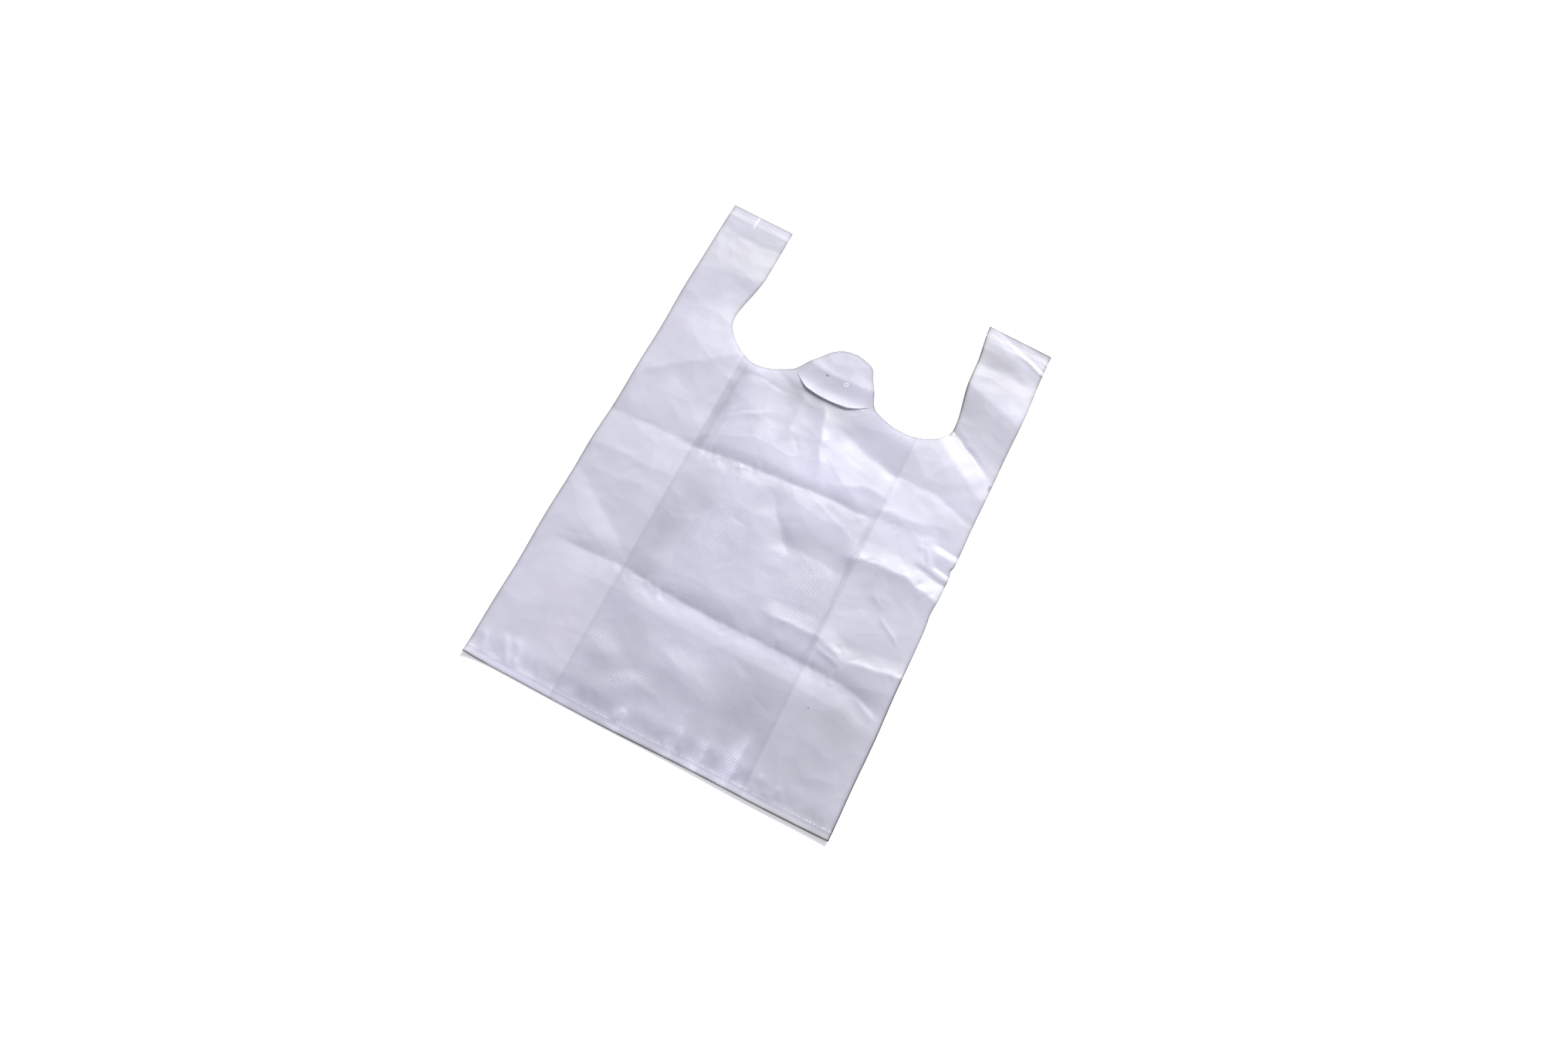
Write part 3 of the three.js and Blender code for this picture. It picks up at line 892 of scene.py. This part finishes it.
def white_marks(tree, spot, across, up):
    """The dotted inner line of the bottom weld, the line of the top welds, a tick in the left handle's weld,
    and a raised ring round one heat spot in the tab."""
    weld_noise = noise(tree, spot, WELD_DOT_CELLS, detail=1)
    dots = maths(tree, "MULTIPLY_ADD", weld_noise, WELD_DOT_GAIN, WELD_DOT_OFFSET)
    dots.node.use_clamp = True
    bottom_line = band(tree, up, WELD_LINE_UP * MM, half=0.3 * MM, soft=0.5 * MM)
    bottom = maths(tree, "MULTIPLY", bottom_line, dots)
    top_line = band(tree, up, (TOP_WELD_UP - 1) * MM, half=0.4 * MM, soft=0.7 * MM)
    top = maths(tree, "MULTIPLY", top_line, TOP_LINE_WHITE)
    tick_across = band(tree, across, TICK_PLACE[0] * MM, half=0.4 * MM, soft=0.8 * MM)
    tick_along = band(tree, up, TICK_PLACE[1] * MM, half=5 * MM, soft=2 * MM)
    tick = maths(tree, "MULTIPLY", tick_across, tick_along)
    ring = band(tree, heat_spot(tree, across, up, 1), PIN_RADIUS * MM, half=0.3 * MM, soft=0.5 * MM)
    marks = maths(tree, "MAXIMUM", bottom, top)
    for mark in (tick, ring):
        marks = maths(tree, "MAXIMUM", marks, mark)
    return marks


def dark_marks(tree, across, up):
    """The fused middle of each heat spot, and a fleck in the film."""
    left = band(tree, heat_spot(tree, across, up, -1), 0, half=0.8 * MM, soft=0.7 * MM)
    right = band(tree, heat_spot(tree, across, up, 1), 0, half=0.4 * MM, soft=0.5 * MM)
    fleck = band(tree, from_spot(tree, across, up, FLECK_PLACE), 0, half=0.5 * MM, soft=0.4 * MM)
    return maths(tree, "MAXIMUM", maths(tree, "MAXIMUM", left, right), fleck)


def film_level(tree, across, up, haze, glint):
    """How light the film is: hazy, with its painted light and shade and painted glints on its dots, and with
    painted shade at the folds.
    """
    # painted shade along the gusset folds
    fold = band(tree, maths(tree, "ABSOLUTE", across), (GUSSET_LINE - 3) * MM, half=0.5 * MM, soft=2 * MM)
    level = maths(tree, "MULTIPLY_ADD", haze, HAZE_SWING, 1 - HAZE_SWING / 2)
    # painted light and shade from the front panel's creases and patches
    level = maths(tree, "ADD", level, attribute(tree, "film_painted_light_and_shade", "Fac"))
    level = maths(tree, "ADD", level, glint)
    level = maths(tree, "MULTIPLY_ADD", fold, FOLD_SHADE, level)
    return maths(tree, "MULTIPLY_ADD", dark_marks(tree, across, up), SPOT_SHADE, level)


def film_relief(tree, spot, up, raised_dots):
    """Crumpled facets, smoother in the handles, finer crinkles over them, and the embossed dots."""
    in_bag = band(tree, up, HANDLING_TOP / 2 * MM, half=HANDLING_TOP / 2 * MM, soft=30 * MM)
    loose = maths(tree, "MULTIPLY_ADD", in_bag, 1 - HANDLE_CRUMPLE, HANDLE_CRUMPLE)
    crumples = maths(tree, "MULTIPLY", facets(tree, spot, CRUMPLES_A_METRE), loose)
    relief = bump(tree, crumples, CRUMPLE_DEPTH)
    relief = bump(tree, facets(tree, spot, CRINKLES_A_METRE), CRINKLE_DEPTH, relief)
    return bump(tree, raised_dots, DOT_DEPTH, relief)


def film_material():
    """Milky polyethylene: soft sheen, light that passes through, and embossed dots between the gussets."""
    material = empty_material("milky_film")
    tree = material.node_tree
    spot = attribute(tree, "film_place", "Vector")
    split = node(tree, "ShaderNodeSeparateXYZ", Vector=spot)
    across, up = split.outputs["X"], split.outputs["Y"]
    panel = band(tree, across, 0, half=(GUSSET_LINE - 2) * MM, soft=1 * MM)
    haze = noise(tree, spot, HAZE_CELLS, detail=4)

    dots = embossed_dots(tree, spot)
    standing = maths(tree, "MULTIPLY", panel, attribute(tree, "film_emboss_and_glint", "Fac"))
    # painted glint on the standing dots
    glint = maths(tree, "MULTIPLY", standing, maths(tree, "MULTIPLY_ADD", dots, DOT_GLINT, DOT_GROUND))
    raised_dots = maths(tree, "MULTIPLY", dots, maths(tree, "MULTIPLY_ADD", panel, PLAIN_DOTS, standing))
    level = film_level(tree, across, up, haze, glint)
    relief = film_relief(tree, spot, up, raised_dots)

    milk = mix_colours(tree, panel, GUSSET_MILK, PANEL_MILK)
    hue_drift = noise(tree, spot, HUE_CELLS, detail=2)
    hue = maths(tree, "MULTIPLY_ADD", hue_drift, HUE_SWING, 0.5 - HUE_SWING / 2)
    shaded = node(tree, "ShaderNodeHueSaturation", Color=milk, Value=level, Hue=hue)
    marked = mix_colours(tree, white_marks(tree, spot, across, up), shaded.outputs[0], MARK_WHITE)
    smoothest, roughest = FILM_ROUGHNESS
    sheen = node(tree, "ShaderNodeMapRange", Value=haze, To_Min=smoothest, To_Max=roughest)
    surface = node(
        tree, "ShaderNodeBsdfPrincipled",
        Base_Color=marked, Roughness=sheen.outputs[0], Normal=relief,
        IOR=FILM_IOR, Specular_IOR_Level=FILM_GLOSS,
    )
    # the same painted light and shade lightens and darkens the light that passes through
    passing = node(tree, "ShaderNodeHueSaturation", Color=PASSING_MILK, Value=level)
    through = node(tree, "ShaderNodeBsdfTranslucent", Color=passing.outputs[0], Normal=relief)
    both = mix_shaders(tree, PASSING_SHARE, surface.outputs[0], through.outputs[0])
    node(tree, "ShaderNodeOutputMaterial", Surface=both)
    return material


# The piece, the stage and the light

def make_film():
    dies = [die("mouth_die", mouth_outline()), die("slit_die", slit_outline())]
    bm = cut_film(folded_tube(), dies)
    lay_film(bm)
    bmesh.ops.scale(bm, verts=bm.verts, vec=(MM, MM, MM))
    for face in bm.faces:
        face.smooth = True
        face.material_index = 0
    for edge in bm.edges:
        edge.smooth = edge.calc_face_angle(0) < FOLD_ANGLE
    area = sum(face.calc_area() for face in bm.faces)
    film = new_object("carrier_bag_film", bm)
    film.data.materials.append(film_material())
    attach(film, "root")
    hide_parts("carrier_bag")


def floor_material():
    """Pale floor: white to the camera but for the bag's shadow, and greyer to light from the film."""
    material = empty_material("pale_floor")
    tree = material.node_tree
    path = node(tree, "ShaderNodeLightPath").outputs
    seen = maths(tree, "MAXIMUM", path["Is Camera Ray"], path["Is Glossy Ray"])
    seen = maths(tree, "MAXIMUM", seen, path["Is Transmission Ray"])
    grey = node(tree, "ShaderNodeBsdfDiffuse", Color=FLOOR_GREY)
    white = node(tree, "ShaderNodeBsdfDiffuse", Color=FLOOR_WHITE)
    away = node(tree, "ShaderNodeVectorMath")
    away.operation = "LENGTH"
    feed(tree, away.inputs[0], node(tree, "ShaderNodeTexCoord").outputs["Object"])
    strength = node(
        tree, "ShaderNodeMapRange",
        Value=away.outputs["Value"], From_Min=NEAR_FLOOR, From_Max=FAR_FLOOR, To_Min=NEAR_GLOW, To_Max=1,
    )
    glow = node(tree, "ShaderNodeEmission", Color=PURE_WHITE, Strength=strength.outputs[0])
    bright = node(tree, "ShaderNodeAddShader")
    feed(tree, bright.inputs[0], white.outputs[0])
    feed(tree, bright.inputs[1], glow.outputs[0])
    both = mix_shaders(tree, seen, grey.outputs[0], bright.outputs[0])
    node(tree, "ShaderNodeOutputMaterial", Surface=both)
    return material


def make_floor():
    bm = bmesh.new()
    bmesh.ops.create_grid(bm, x_segments=1, y_segments=1, size=FLOOR_REACH)
    floor = new_object("floor", bm)
    floor.data.materials.append(floor_material())


def make_world():
    """A cool even fill that the camera sees as plain white."""
    world = bpy.data.worlds.new("studio")
    bpy.context.scene.world = world
    world.use_nodes = True
    tree = world.node_tree
    tree.nodes.clear()
    path = node(tree, "ShaderNodeLightPath").outputs
    fill = node(tree, "ShaderNodeBackground", Color=FILL_COLOUR, Strength=FILL_STRENGTH)
    white = node(tree, "ShaderNodeBackground", Color=PURE_WHITE, Strength=1)
    both = mix_shaders(tree, path["Is Camera Ray"], fill.outputs[0], white.outputs[0])
    node(tree, "ShaderNodeOutputWorld", Surface=both)


def make_key_lamp():
    """A square lamp beyond the handles that looks at the middle of the bag."""
    lamp = bpy.data.lights.new("back_key", "AREA")
    lamp.size = KEY_SIZE
    lamp.energy = KEY_POWER
    lamp.color = KEY_COLOUR
    made = bpy.data.objects.new("back_key", lamp)
    made.location = KEY_PLACE
    made.rotation_euler = (-Vector(KEY_PLACE)).to_track_quat("-Z", "Y").to_euler()
    bpy.context.scene.collection.objects.link(made)


def make_camera():
    view = bpy.data.cameras.new("camera")
    view.sensor_width = SENSOR_WIDTH
    view.lens = CAMERA_LENS
    camera = bpy.data.objects.new("camera", view)
    camera.location = CAMERA_PLACE
    camera.rotation_euler = [math.radians(turn) for turn in CAMERA_TURN]
    bpy.context.scene.collection.objects.link(camera)
    bpy.context.scene.camera = camera


make_camera()
make_film()
make_floor()
make_world()
make_key_lamp()
bpy.context.scene.view_settings.view_transform = "Standard"
